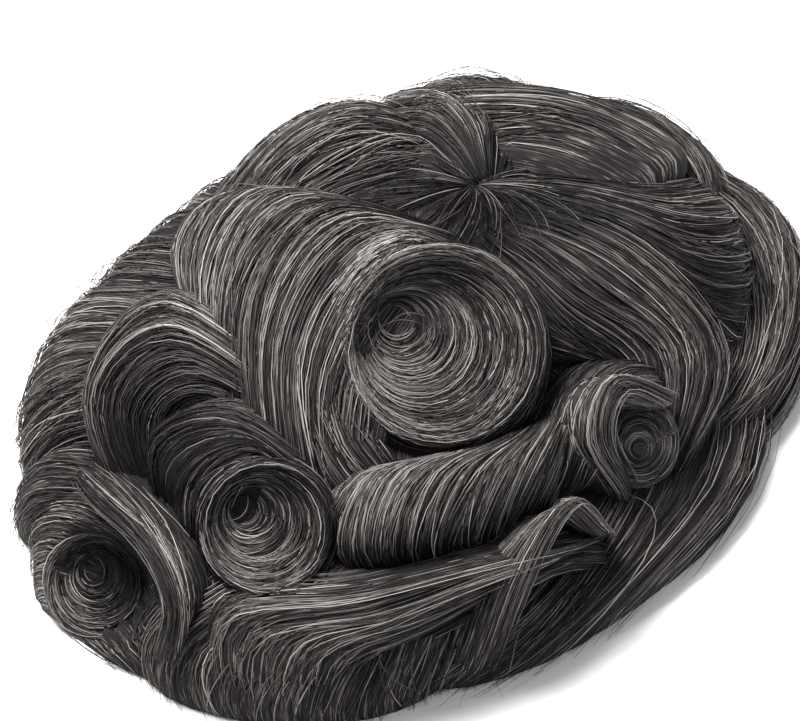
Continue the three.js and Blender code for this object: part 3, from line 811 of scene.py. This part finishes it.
# The loop lock's low tone and darker root are painted shade, so that it reads as a dark hollow
# inside the loop.
loopLock = {
    "node": "loop_lock", "hairs": 190, "clumps": 16, "tone": 0.32, "relief": 0.6, "lead": 0.3,
    "source": (0.5, -0.62), "shade": (-0.2, 0.0, 0.0), "seed": 13,
    "guides": [
        [(60, -58, 60), (64, -38, 78), (68, -17, 84), (82, -6, 66)],
        [(64, -58, 64), (68, -38, 84), (72, -21, 90), (85, -10, 68)],
        [(69, -57, 50), (73, -38, 60), (76, -26, 62), (88, -14, 50)],
    ],
}
ringCurl = {
    "node": "ring_curl", "hairs": 190, "clumps": 12, "tone": 0.5, "shade": (-0.05, 0.03, -0.1),
    "seed": 14,
    "guides": [
        [(50, 26, 34), (43, 12, 46), (47, -3, 46), (60, -12, 30)],
        [(56, 24, 50), (50, 12, 76), (54, 0, 74), (65, -7, 42)],
        [(62, 20, 52), (58, 12, 78), (61, 3, 76), (69, -2, 44)],
    ],
    "curl": {
        "mouth": (64, 10, 60), "facing": -25, "tilt": 52, "radius": 15, "bowl": 4,
        "eye": (0.0, -0.25), "droop": 0.5, "opens": -30, "bowlHairs": 200, "rimHairs": 130,
        "steps": 12, "from": (10, 85), "sweep": (140, 220), "stray": 0.0, "rimShade": 0.0,
        "inmost": 0.2, "light": 0.08,
        "rims": [(5, 10, 60, 170, 240, 0.1, 1.0)],
    },
}

# Hair that comes round the ring curl in a C, over its top and down its left side.
ringLoop = {
    "hairs": 200, "clumps": 12, "tone": 0.5, "relief": 0.8, "pinch": -0.2, "ragged": 0.15,
    "seed": 67,
    "guides": [
        [(57, 19, 84), (45, 6, 98), (54, -4, 84), (76, 0, 56)],
        [(59, 16, 84), (49, 7, 94), (57, 0, 80), (75, 3, 54)],
        [(60, 15, 78), (54, 8, 86), (60, 4, 74), (75, 7, 50)],
    ],
}
ringCurl["with"] = [ringLoop]

middleWave = {
    "node": "middle_wave", "hairs": 560, "clumps": 30, "tone": 0.5, "rootSkirt": 0.25,
    "shade": (0.0, 0.05, -0.25), "seed": 15,
    "guides": [
        [(33, -27, 50), (25, -38, 66), (30, -51, 60), (44, -58, 24)],
        [(40, -18, 60), (34, -31, 92), (42, -44, 78), (55, -48, 24)],
        [(46, -9, 60), (45, -21, 92), (53, -32, 74), (63, -35, 24)],
        [(50, 4, 50), (56, -6, 76), (63, -15, 62), (71, -18, 24)],
    ],
}
frontOuterWave = {
    "node": "front_outer_wave", "hairs": 620, "steps": 14, "clumps": 30, "tone": 0.47,
    "shade": (-0.3, -0.04, 0.1), "seed": 16,
    "guides": [
        [(-26, -72, 36), (-46, -50, 66), (-42, -24, 66), (-6, -24, 40)],
        [(-22, -70, 46), (-38, -49, 95), (-34, -29, 95), (-2, -29, 60)],
        [(-18, -66, 40), (-29, -49, 86), (-23, -35, 84), (0, -34, 54)],
        [(-13, -62, 24), (-20, -49, 46), (-13, -41, 50), (3, -38, 36)],
    ],
}
crownSweep = {
    "node": "crown_sweep", "hairs": 640, "steps": 14, "clumps": 38, "tone": 0.48, "lead": 0.5,
    "source": (-0.16, 0.32), "shade": (-0.1, 0.03, -0.05), "seed": 17,
    "guides": [
        [(14, 12, 28), (30, 10, 34), (42, 14, 40), (50, 20, 42)],
        [(10, 25, 28), (30, 24, 46), (52, 28, 56), (70, 19, 50)],
        [(10, 36, 28), (32, 37, 54), (60, 38, 66), (79, 16, 58)],
        [(12, 46, 28), (34, 47, 46), (64, 47, 58), (85, 22, 54)],
    ],
}
cornerCurl = {
    "node": "corner_curl", "hairs": 350, "steps": 14, "clumps": 24, "tone": 0.47,
    "shade": (-0.1, 0.04, -0.28), "seed": 18,
    "guides": [
        [(-50, -86, 66), (-42, -70, 76), (-18, -64, 66), (8, -72, 46)],
        [(-50, -96, 86), (-38, -78, 96), (-14, -72, 92), (14, -83, 70)],
        [(-44, -104, 96), (-30, -90, 102), (-6, -86, 100), (20, -96, 86)],
        [(-40, -118, 104), (-20, -114, 112), (2, -112, 114), (20, -116, 104)],
    ],
    "curl": {
        "mouth": (-14, -86, 76), "facing": -72, "tilt": 50, "radius": 18, "bowl": 6,
        "eye": (-0.3, 0.28), "droop": 0.35, "opens": -60, "bowlHairs": 330, "rimHairs": 150,
        "steps": 12, "from": (0, 360), "sweep": (-200, -70), "stray": 0.45,
        "rims": [(4, -60, 60, 100, 190, 0.1, 1.0), (3, 200, 300, 60, 130, 0.2, 1.0)],
    },
}
frontWave = {
    "node": "front_wave", "hairs": 560, "clumps": 36, "tone": 0.48, "sway": (0.04, -0.03, 0.06),
    "rootSkirt": 0.3, "shade": (0.1, -0.04, 0.0), "seed": 19,
    "guides": [
        [(0, -76, 50), (-4, -86, 86), (-2, -97, 104), (4, -110, 100)],
        [(22, -67, 70), (20, -81, 100), (23, -94, 108), (28, -106, 100)],
        [(42, -60, 72), (45, -73, 102), (50, -86, 106), (56, -97, 98)],
        [(58, -50, 70), (64, -60, 96), (71, -71, 100), (79, -80, 92)],
        [(69, -38, 60), (78, -46, 84), (87, -53, 90), (97, -59, 84)],
    ],
}
backRimBand = {
    "node": "back_rim_band", "hairs": 560, "clumps": 18, "tone": 0.5, "turned": True,
    "shoulder": 0.7, "sideSkirt": 0.2, "relief": 0.9, "clumpTone": 0.1, "seed": 20, **frizz,
    "guides": [
        [(2, 70, 56), (3, 80, 100), (4, 90, 104), (5, 108, 90)],
        [(28, 66, 60), (31, 76, 116), (35, 88, 116), (40, 102, 98)],
        [(48, 59, 52), (53, 68, 106), (60, 79, 108), (67, 91, 92)],
        [(62, 46, 44), (69, 54, 92), (77, 63, 98), (86, 72, 84)],
        [(72, 30, 40), (80, 36, 80), (89, 43, 88), (100, 48, 80)],
    ],
}
rightRimLock = {
    "node": "right_rim_lock", "hairs": 700, "steps": 12, "clumps": 18, "tone": 0.49,
    "sway": (0.5, 0.0, -0.42), "rootSkirt": 0.3, "relief": 1.2, "clumpTone": 0.13, "seed": 21,
    **frizz,
    "guides": [
        [(60, -58, 60), (68, -66, 86), (76, -74, 96), (86, -82, 86)],
        [(74, -30, 56), (82, -35, 82), (92, -40, 92), (102, -44, 84)],
        [(78, 0, 54), (86, -3, 84), (97, -6, 90), (108, -8, 82)],
        [(75, 32, 50), (84, 32, 90), (94, 30, 98), (105, 28, 90)],
        [(58, 62, 50), (66, 68, 84), (74, 76, 96), (82, 84, 88)],
    ],
}
backWave = {
    "node": "back_wave", "hairs": 500, "clumps": 28, "tone": 0.47, "lead": 0.45,
    "source": (-0.17, 0.36), "sway": (-0.06, 0.1, -0.14), "shade": (-0.12, -0.02, 0.0),
    "seed": 22,
    "guides": [
        [(-14, 44, 28), (2, 54, 54), (7, 66, 84), (5, 80, 68)],
        [(2, 42, 28), (20, 50, 62), (28, 61, 88), (30, 75, 66)],
        [(14, 40, 28), (35, 45, 58), (46, 54, 80), (51, 66, 60)],
        [(22, 36, 28), (44, 39, 46), (60, 43, 60), (70, 48, 50)],
    ],
}
sideLoop = {
    "node": "side_loop", "hairs": 430, "clumps": 22, "tone": 0.48,
    "grooves": [(0.55, 3.5, 0.06)], "lead": 0.3, "source": (-0.22, 0.36), "rootSkirt": 0.3,
    "seed": 23, **frizz,
    "guides": [
        [(-32, 38, 24), (-36, 26, 46), (-42, 16, 46), (-54, 6, 26)],
        [(-40, 42, 48), (-46, 28, 88), (-53, 16, 86), (-64, 2, 50)],
        [(-48, 50, 50), (-56, 35, 94), (-63, 19, 92), (-71, 0, 60)],
        [(-58, 54, 44), (-67, 37, 82), (-74, 19, 82), (-79, -2, 58)],
    ],
}
ridgeTwist = {
    "node": "ridge_twist", "hairs": 330, "clumps": 20, "tone": 0.47, "lead": 0.4,
    "source": (-0.17, 0.35), "shade": (-0.16, 0.02, 0.0), "seed": 24, **frizz,
    "guides": [
        [(-18, 40, 22), (-28, 37, 56), (-37, 34, 68), (-46, 30, 50)],
        [(-16, 52, 30), (-30, 49, 86), (-42, 46, 96), (-55, 42, 80)],
        [(-18, 64, 36), (-32, 60, 92), (-47, 56, 98), (-62, 50, 84)],
        [(-24, 76, 36), (-38, 72, 80), (-53, 67, 88), (-68, 60, 76)],
    ],
}
backRidge = {
    "node": "back_ridge", "hairs": 330, "clumps": 16, "tone": 0.48, "turned": True,
    "shoulder": 0.8, "sideSkirt": 0.3, "seed": 25, **frizz,
    "guides": [
        [(-28, 56, 44), (-29, 65, 80), (-31, 75, 90), (-33, 85, 78)],
        [(-14, 58, 50), (-14, 68, 98), (-14, 79, 100), (-15, 91, 84)],
        [(4, 60, 50), (6, 70, 98), (8, 81, 100), (8, 92, 84)],
        [(20, 62, 50), (24, 70, 88), (27, 79, 92), (29, 89, 80)],
    ],
}

# Hair that comes over the top of the corner curl and falls on its right, to the floor.
cornerFall = {
    "hairs": 180, "steps": 12, "clumps": 14, "tone": 0.46, "shade": (-0.05, 0.04, -0.1),
    "pinch": -0.2, "ragged": 0.15, "lead": 0.35, "source": (-0.42, -0.66), "rootSkirt": 0.45,
    "relief": 0.8, "seed": 65,
    "guides": [
        [(-18, -62, 92), (3, -64, 106), (16, -71, 108), (21, -86, 100)],
        [(-18, -66, 92), (1, -67, 106), (14, -74, 110), (17, -87, 106)],
        [(-19, -70, 88), (-2, -70, 98), (9, -77, 104), (10, -90, 104)],
    ],
}
cornerCurl["with"] = [cornerFall]

# Hair along the front wave's ridge, that turns down at its left end.
frontCrest = {
    "hairs": 330, "clumps": 20, "tone": 0.5, "fly": 0.1, "pinch": -0.3, "ragged": 0.2,
    "rootSkirt": 0.4, "relief": 0.8, "seed": 66,
    "guides": [
        [(60, -28, 98), (41, -52, 108), (20, -69, 108), (23, -87, 98)],
        [(62, -28, 104), (45, -51, 115), (28, -69, 115), (38, -89, 98)],
        [(65, -28, 104), (54, -49, 112), (44, -65, 112), (54, -84, 94)],
        [(69, -29, 98), (66, -46, 104), (63, -62, 102), (73, -76, 86)],
    ],
}
frontWave["with"] = [frontCrest]

cornerWave = {
    "node": "corner_wave", "hairs": 190, "steps": 12, "clumps": 14, "tone": 0.44,
    "rootSkirt": 0.25, "seed": 26,
    "guides": [
        [(-26, -56, 40), (-44, -60, 84), (-58, -70, 94), (-70, -85, 86)],
        [(-22, -66, 44), (-38, -70, 98), (-51, -81, 104), (-62, -96, 94)],
        [(-18, -74, 40), (-33, -80, 84), (-43, -90, 88), (-50, -102, 76)],
    ],
}
leftSideLock = {
    "node": "left_side_lock", "hairs": 400, "clumps": 22, "tone": 0.47, "wander": 0.9,
    "rootSkirt": 0.25, "seed": 27, **frizz,
    "guides": [
        [(-54, -12, 36), (-70, -15, 86), (-86, -20, 94), (-104, -28, 84)],
        [(-48, -28, 44), (-64, -34, 98), (-78, -44, 100), (-93, -56, 84)],
        [(-42, -44, 44), (-56, -53, 96), (-69, -64, 100), (-81, -76, 86)],
        [(-36, -58, 36), (-48, -67, 86), (-59, -79, 94), (-68, -92, 84)],
    ],
}
templeLock = {
    "node": "temple_lock", "hairs": 250, "clumps": 16, "tone": 0.36, "seed": 28, **frizz,
    "guides": [
        [(-60, 10, 36), (-74, 8, 76), (-88, 6, 80), (-106, 2, 72)],
        [(-58, -8, 44), (-74, -12, 84), (-88, -17, 86), (-104, -22, 76)],
        [(-54, -26, 40), (-70, -32, 84), (-84, -39, 88), (-98, -46, 78)],
    ],
}
leftRimWave = {
    "node": "left_rim_wave", "hairs": 240, "steps": 11, "clumps": 20, "tone": 0.44, "seed": 29,
    "guides": [
        [(-66, 48, 36), (-76, 48, 80), (-88, 48, 88), (-98, 46, 78)],
        [(-70, 30, 40), (-82, 29, 92), (-93, 27, 96), (-105, 25, 80)],
        [(-72, 12, 40), (-84, 11, 92), (-95, 9, 96), (-107, 8, 80)],
        [(-72, -6, 36), (-84, -7, 80), (-94, -8, 86), (-106, -10, 76)],
    ],
}
leftBackWave = {
    "node": "left_back_wave", "hairs": 240, "steps": 11, "clumps": 20, "tone": 0.45, "seed": 30,
    "guides": [
        [(-34, 76, 36), (-40, 82, 80), (-46, 89, 88), (-52, 96, 78)],
        [(-48, 66, 40), (-56, 71, 94), (-64, 77, 98), (-73, 83, 82)],
        [(-58, 52, 40), (-68, 57, 94), (-77, 62, 98), (-87, 67, 82)],
        [(-64, 38, 36), (-75, 42, 80), (-84, 46, 88), (-94, 50, 78)],
    ],
}
napeWave = {
    "node": "nape_wave", "hairs": 240, "steps": 11, "clumps": 20, "tone": 0.45, "seed": 31,
    "guides": [
        [(24, 80, 40), (24, 87, 80), (24, 95, 90), (24, 106, 80)],
        [(6, 84, 50), (5, 91, 94), (4, 98, 100), (3, 108, 84)],
        [(-16, 84, 50), (-17, 90, 94), (-19, 97, 100), (-21, 107, 84)],
        [(-38, 76, 40), (-42, 83, 80), (-46, 90, 90), (-50, 98, 80)],
    ],
}

# Hair that runs along the ridge at the back, from the twist to the rim band.
ridgeVeil = {
    "hairs": 240, "steps": 14, "clumps": 14, "tone": 0.48, "pinch": -0.4, "ragged": 0.2,
    "tail": -0.6, "seed": 61,
    "guides": [
        [(-36, 36, 66), (-24, 41, 74), (-10, 46, 80), (10, 52, 80)],
        [(-40, 38, 84), (-28, 45, 88), (-12, 53, 94), (10, 59, 96)],
        [(-42, 42, 98), (-30, 51, 101), (-14, 61, 103), (8, 67, 104)],
    ],
}
backRidge["with"] = [ridgeVeil]

# Hair that leaves the whorl and climbs the near side of the twist.
whorlVeil = {
    "hairs": 230, "steps": 12, "clumps": 20, "tone": 0.46, "shade": (-0.1, 0.02, 0.0),
    "farSkirt": 0.6, "seed": 62,
    "guides": [
        [(-19, 34, 20), (-28, 34, 44), (-39, 34, 62), (-52, 30, 52)],
        [(-18, 36, 24), (-27, 38, 62), (-38, 39, 84), (-52, 36, 84)],
        [(-16, 38, 26), (-23, 44, 72), (-34, 46, 93), (-50, 43, 96)],
    ],
}
ridgeTwist["with"] = [whorlVeil]

# Short hair that fills the valley between the big roll and the waves in front of it.
valleyHair = {
    "hairs": 150, "steps": 9, "clumps": 14, "tone": 0.44, "seed": 63,
    "guides": [
        [(4, -18, 44), (13, -24, 46), (22, -28, 48), (31, -30, 46)],
        [(1, -24, 50), (11, -30, 52), (21, -35, 52), (31, -37, 50)],
        [(-1, -31, 46), (9, -36, 46), (19, -41, 46), (29, -44, 44)],
    ],
}
frontOuterWave["with"] = [valleyHair]

# Hair that falls from the top of the loop down the front.
loopFall = {
    "hairs": 150, "steps": 12, "clumps": 12, "tone": 0.5, "fly": 0.15, "pinch": -0.3,
    "ragged": 0.2, "rootSkirt": 0.25, "relief": 0.8, "seed": 64,
    "guides": [
        [(73, -13, 86), (61, -19, 98), (62, -36, 104), (76, -54, 92)],
        [(71, -10, 92), (59, -14, 105), (65, -29, 107), (82, -48, 86)],
        [(75, -9, 86), (65, -12, 97), (71, -26, 98), (88, -43, 76)],
    ],
}
loopLock["with"] = [loopFall]

# From the uppermost lock to the lowest.
locks = [
    pompadourCurl, frontCurl, loopLock, ringCurl, middleWave,
    frontOuterWave, crownSweep, cornerCurl, frontWave, backRimBand,
    rightRimLock, backWave, sideLoop, ridgeTwist, backRidge,
    cornerWave, leftSideLock, templeLock, leftRimWave, leftBackWave,
    napeWave,
]

for k, lock in enumerate(locks):
    lock["under"] = [other["curl"] for other in locks[:k] if "curl" in other]
    buildLock(lock)
print("locks made")


crownHair = {
    "whorl": (-0.18, 0.333),
    "hairs": 1050,
    "steps": 9,
    "swirl": 0.9,
    "tuft": 330,
    "climb": 11,
    "climbTo": 118,
    "tone": 0.30,
    "seed": 71,
}


# The coat: a closed shell from the crown to its hem, outside and inside.
def coatBed(lock, sides=72, rings=18):
    turn = np.linspace(0, 2 * math.pi, sides, endpoint=False)
    hem = 2 / math.pi * math.acos(1.4 / (cap["height"] + hair["coat"]))
    reach = np.linspace(0, 1, rings + 1)[1:, None] * hem
    lifts = np.array([hair["coat"] - 0.5, 0.5])
    top = onCap(reach * np.cos(turn), reach * np.sin(turn), lifts[0])
    inner = onCap(reach[::-1] * np.cos(turn), reach[::-1] * np.sin(turn), lifts[1])
    poles = onCap(np.zeros(2), np.zeros(2), lifts)
    points = np.concatenate([top.reshape(-1, 3), inner.reshape(-1, 3), poles])
    down = np.concatenate([reach, reach[::-1]]) * 90
    level = 0.01 + 0.25 * np.concatenate([reach, 2.02 * hem - reach[::-1]]) / (2.02 * hem)
    # The coat's bed is painted darker by half the beds' painted shade.
    tone = np.full(len(points), lock["tone"] + hair["bedTone"] / 2)
    return poledChunk(points, sides, turn * 60, down, level, (0.012, 0.262), tone)


# Short strands that leave the whorl in a swirl. A strand's way out is a share of the distance from
# the whorl to the rim.
def coatStrands(lock):
    rng = np.random.default_rng(lock["seed"])
    count = int(lock["hairs"] * hair["density"])
    one = (count, 1)
    t = np.linspace(0, 1, lock["steps"])
    whorl = np.array(lock["whorl"], float)
    turn = rng.uniform(0, 2 * math.pi, one)
    aside = np.cos(turn) * whorl[0] + np.sin(turn) * whorl[1]
    rim = -aside + np.sqrt(aside**2 + 1 - whorl @ whorl)
    begin = rng.uniform(0.01, 0.86, one) ** 1.3
    finish = np.minimum(begin + rng.uniform(0.22, 0.5, one), 0.985)
    share = begin + (finish - begin) * t
    swirled = turn + lock["swirl"] * (1 - share) ** 2 + rng.normal(0, 0.06, one) * share
    spot = whorl + (share * rim)[..., None] * np.stack([np.cos(swirled), np.sin(swirled)], -1)
    spot = spot / np.maximum(np.linalg.norm(spot, axis=-1, keepdims=True) / 0.985, 1)
    rise = rng.uniform(-0.8, 0.9, one) + 0.9 * np.sin(math.pi * t)
    paths = onCap(spot[..., 0], spot[..., 1], hair["coat"] - 0.4 + rise)
    for curl in lock["under"]:
        paths = pressed(paths, curl, 2.2, False)
    paths = keptOverCap(paths, hair["coat"] - 2)
    paths[..., 2] = np.maximum(paths[..., 2], 0.4)
    return drawnStrands(rng, paths, outOfCap(paths), strandTones(rng, count, lock), 0.7, 1.2)


# Fine strands that leave the whorl every way over all that lies near it. They climb on the side
# of the twist and the ridge.
def whorlStrands(lock):
    rng = np.random.default_rng(lock["seed"] + 5)
    one = (lock["tuft"], 1)
    t = np.linspace(0, 1, lock["steps"])
    turn = rng.uniform(0, 2 * math.pi, one)
    begin = 0.012 + 0.05 * rng.random(one) ** 2
    reach = begin + rng.uniform(0.12, 0.34, one) * t
    bent = turn + (0.5 + rng.normal(0, 0.3, one)) * (0.34 - reach) + rng.normal(0, 0.5, one) * reach
    spot = np.array(lock["whorl"]) + reach[..., None] * np.stack([np.cos(bent), np.sin(bent)], -1)
    climb = np.clip(np.cos(bent - math.radians(lock["climbTo"])), 0, 1) ** 1.5 * lock["climb"]
    climb = climb * np.clip(reach / 0.3, 0, 1) ** 1.4
    rise = 0.6 + rng.uniform(0, 2.2, one) * np.sin(math.pi * np.minimum(t * 0.8 + 0.1, 1))
    rise = rise + 2.0 * np.clip(reach / 0.25, 0, 1)
    paths = onCap(spot[..., 0], spot[..., 1], hair["coat"] + rise + climb)
    tone = strandTones(rng, len(paths), {"tone": lock["tone"] + 0.22, "silver": 0.35})
    return drawnStrands(rng, paths, outOfCap(paths), tone, 0.5, 0.9)


crownHair["under"] = [lock["curl"] for lock in locks if "curl" in lock]
coat = [coatBed(crownHair), coatStrands(crownHair), whorlStrands(crownHair)]
finishPiece(hairMesh("crown_hair_coat", coat), "crown_hair", hairMade)
print("crown hair made")


# The base keeps its CAD shape: a fine dark net, with threads both ways and holes between them.
baseLooks = {
    "thread": (0.030, 0.024, 0.018),
    "hole": (0.008, 0.007, 0.006),
    "pitch": 1.1,
}


def netMaterial(looks):
    material = bpy.data.materials.new("hairpieceNet")
    material.use_nodes = True
    tree = material.node_tree
    shader = tree.nodes["Principled BSDF"]
    start = Wire(tree, None)
    place = start.out("ShaderNodeTexCoord", "Object")
    ways = start.node("ShaderNodeSeparateXYZ", Vector=place)
    turns = 2 * math.pi * 1000 / looks["pitch"]
    waves = [Wire(tree, ways.outputs[k]) * turns for k in (0, 1)]
    crests = [start.math("ABSOLUTE", start.math("COSINE", wave * 0.5)) for wave in waves]
    thread = start.math("MAXIMUM", *crests) ** 6.0
    colour = start.node("ShaderNodeMix", {"data_type": "RGBA"}, i0=thread)
    colour.inputs[6].default_value = (*looks["hole"], 1)
    colour.inputs[7].default_value = (*looks["thread"], 1)
    tree.links.new(colour.outputs[2], shader.inputs["Base Color"])
    bump = start.node("ShaderNodeBump", Strength=0.8, Distance=0.0003, Height=thread)
    tree.links.new(bump.outputs["Normal"], shader.inputs["Normal"])
    shader.inputs["Roughness"].default_value = 0.85
    return material


base = frame["nodes"]["base"]
base.data.materials.clear()
base.data.materials.append(netMaterial(baseLooks))
print("base finished")

# The studio: a white floor, a pale sky, a broad light from the upper left behind, and a camera
# that looks down from the front left corner of the wearer.
studio = {
    "azimuth": 42,
    "elevation": 47,
    "distance": 3.0,
    "span": 0.24713,
    "aside": -0.00282,
    "above": 0.01853,
    "sky": 0.42,
    "key": 34,
    "fill": 3,
}
azimuth, elevation = math.radians(studio["azimuth"]), math.radians(studio["elevation"])
right = Vector((math.cos(azimuth), math.sin(azimuth), 0))
level = Vector((math.sin(azimuth), -math.cos(azimuth), 0))
back = level * math.cos(elevation) + Vector((0, 0, math.sin(elevation)))
upward = back.cross(right)
target = Vector(capMiddle / 1000) + right * studio["aside"] + upward * studio["above"]
camera = bpy.data.objects.new("camera", bpy.data.cameras.new("camera"))
bpy.context.scene.collection.objects.link(camera)
camera.location = target + back * studio["distance"]
camera.rotation_euler = Matrix((right, upward, back)).transposed().to_euler()
camera.data.sensor_width = 36
camera.data.lens = 36 * studio["distance"] / studio["span"]
camera.data.clip_start, camera.data.clip_end = 0.1, 20
bpy.context.scene.camera = camera

floorMesh = bpy.data.meshes.new("floor")
floorMesh.from_pydata([(-4, -4, 0), (4, -4, 0), (4, 4, 0), (-4, 4, 0)], [], [(0, 1, 2, 3)])
floor = bpy.data.objects.new("floor", floorMesh)
bpy.context.scene.collection.objects.link(floor)
white = bpy.data.materials.new("floorWhite")
white.use_nodes = True
whiteShader = white.node_tree.nodes["Principled BSDF"]
whiteShader.inputs["Base Color"].default_value = (0.9, 0.9, 0.89, 1)
whiteShader.inputs["Roughness"].default_value = 0.9
floorMesh.materials.append(white)


def areaLight(name, where, size, power, colour):
    light = bpy.data.lights.new(name, "AREA")
    light.size, light.energy, light.color = size, power, colour
    lamp = bpy.data.objects.new(name, light)
    lamp.location = target + where
    lamp.rotation_euler = (-where).to_track_quat("-Z", "Y").to_euler()
    bpy.context.scene.collection.objects.link(lamp)


keyPlace = right * -0.4 + upward * 0.85 + back * 0.6
fillPlace = right * 0.9 + upward * -0.1 + back * 0.9
areaLight("keyLight", keyPlace, 0.45, studio["key"], (1, 0.99, 0.97))
areaLight("fillLight", fillPlace, 0.8, studio["fill"], (0.98, 0.99, 1))
world = bpy.data.worlds.new("sky")
bpy.context.scene.world = world
world.use_nodes = True
world.node_tree.nodes["Background"].inputs["Color"].default_value = (1, 1, 1, 1)
world.node_tree.nodes["Background"].inputs["Strength"].default_value = studio["sky"]
bpy.context.scene.view_settings.view_transform = "Standard"
print("studio made")

added = [o for o in bpy.data.objects if "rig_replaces" in o]
print("triangles in all", sum(len(f.vertices) - 2 for o in added for f in o.data.polygons))
